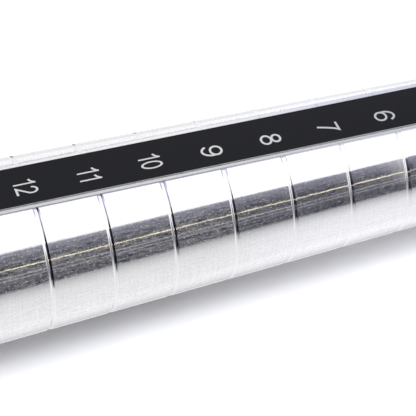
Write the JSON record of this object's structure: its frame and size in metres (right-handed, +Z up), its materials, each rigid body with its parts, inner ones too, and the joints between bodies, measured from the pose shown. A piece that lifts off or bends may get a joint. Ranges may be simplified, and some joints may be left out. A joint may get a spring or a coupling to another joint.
{
  "type": "ring mandrel",
  "caption": "Tapered ring-sizing mandrel with turned size grooves, an inset numbered scale strip and a turned grip.",
  "frame": {"origin": "bottom centre of the bounding box, on the surface that the mandrel lies on", "axes": "+Z up, +X along the mandrel towards its thin nose, +Y across it; the scale strip faces up, and the mandrel's own axis drops 1.79 degrees towards the nose because it lies on its nose and on the swell of its grip"},
  "size_m": [0.2834, 0.028, 0.028],
  "materials": {
    "taper_aluminium": "finely turned, clear",
    "strip_black": "satin black anodised",
    "tape_film": "matt film",
    "numeral_ink": "printed white ink",
    "ferrule_aluminium": "turned, satin",
    "grip_wood": "turned beech, oiled",
    "screw_steel": "blackened",
    "washer_steel": "zinc plated",
    "cap_aluminium": "turned, satin"
  },
  "bodies": {
    "root": {"taper_body": "taper_aluminium", "strip_tape": "tape_film", "scale_strip": "strip_black", "ferrule": "ferrule_aluminium", "grip": "grip_wood", "handle_screw": "screw_steel", "screw_washer": "washer_steel", "end_cap": "cap_aluminium"}
  },
  "joints": []
}
